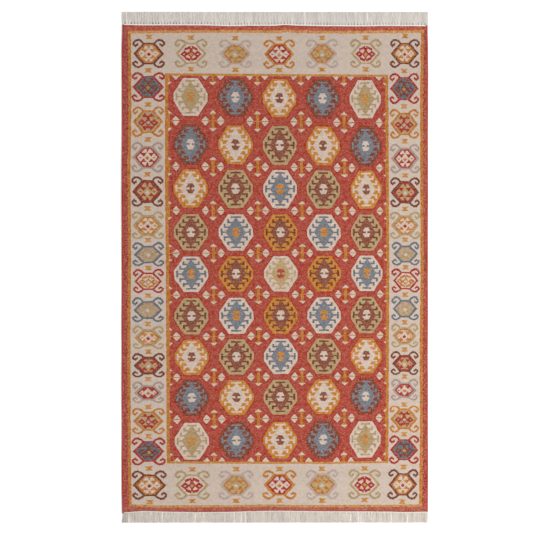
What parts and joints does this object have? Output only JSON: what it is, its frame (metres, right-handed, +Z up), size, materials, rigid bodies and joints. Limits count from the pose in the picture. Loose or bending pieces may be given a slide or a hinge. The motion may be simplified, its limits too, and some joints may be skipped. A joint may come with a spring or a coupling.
{
  "type": "kilim rug",
  "caption": "Flat-woven wool kilim rug laid out flat: patterned cloth with a banded border, overcast selvedge cords on the long sides and a straight-cut fringe at each end.",
  "frame": {"origin": "on the floor, under the middle of the rug, fringes included", "axes": "+Y along the rug towards the far fringe, +X across it to the right, +Z up out of the patterned face"},
  "size_m": [1.5332, 2.556, 0.0055],
  "materials": {
    "field_wool": "flat-woven dyed wool, matte, slit-tapestry pattern on both faces",
    "selvedge_wool": "overcast dark red wool, matte",
    "fringe_yarn": "undyed greyish warp yarn, matte"
  },
  "bodies": {
    "root": {"kilim_cloth": "field_wool", "selvedge_left": "selvedge_wool", "selvedge_right": "selvedge_wool", "fringe_far": "fringe_yarn", "fringe_near": "fringe_yarn"}
  },
  "joints": []
}
